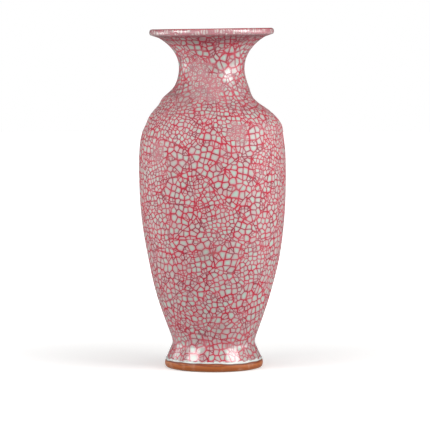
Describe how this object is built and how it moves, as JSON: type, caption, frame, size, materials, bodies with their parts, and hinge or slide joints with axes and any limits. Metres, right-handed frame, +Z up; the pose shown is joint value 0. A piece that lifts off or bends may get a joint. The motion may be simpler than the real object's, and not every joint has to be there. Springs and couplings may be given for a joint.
{
  "type": "vase",
  "caption": "Tall baluster vase with a trumpet mouth, a narrow neck, a high round shoulder and a flared foot, in red-stained crackle glaze.",
  "frame": {"origin": "centre of the foot's contact face, on the table", "axes": "+Z up along the turning axis, from the foot to the mouth; the vase is the same all round"},
  "size_m": [0.1542, 0.1542, 0.356],
  "materials": {
    "fired_clay": "bare fired stoneware, matt, slightly gritty",
    "luting_slip": "fired slip, matt",
    "crackle_glaze": "glossy grey-green glaze, crackled all over, the cracks stained red with dark centre lines",
    "lining_glaze": "glossy grey-green glaze, lightly crackled",
    "iron_wash": "iron-brown dressing, satin"
  },
  "bodies": {
    "root": {"foot_section": "fired_clay", "belly_section": "fired_clay", "shoulder_section": "fired_clay", "mouth_section": "fired_clay", "foot_slip_seam": "luting_slip", "belly_slip_seam": "luting_slip", "neck_slip_seam": "luting_slip", "outer_glaze": "crackle_glaze", "inner_glaze": "lining_glaze", "base_glaze": "lining_glaze", "foot_wash": "iron_wash"}
  },
  "joints": []
}
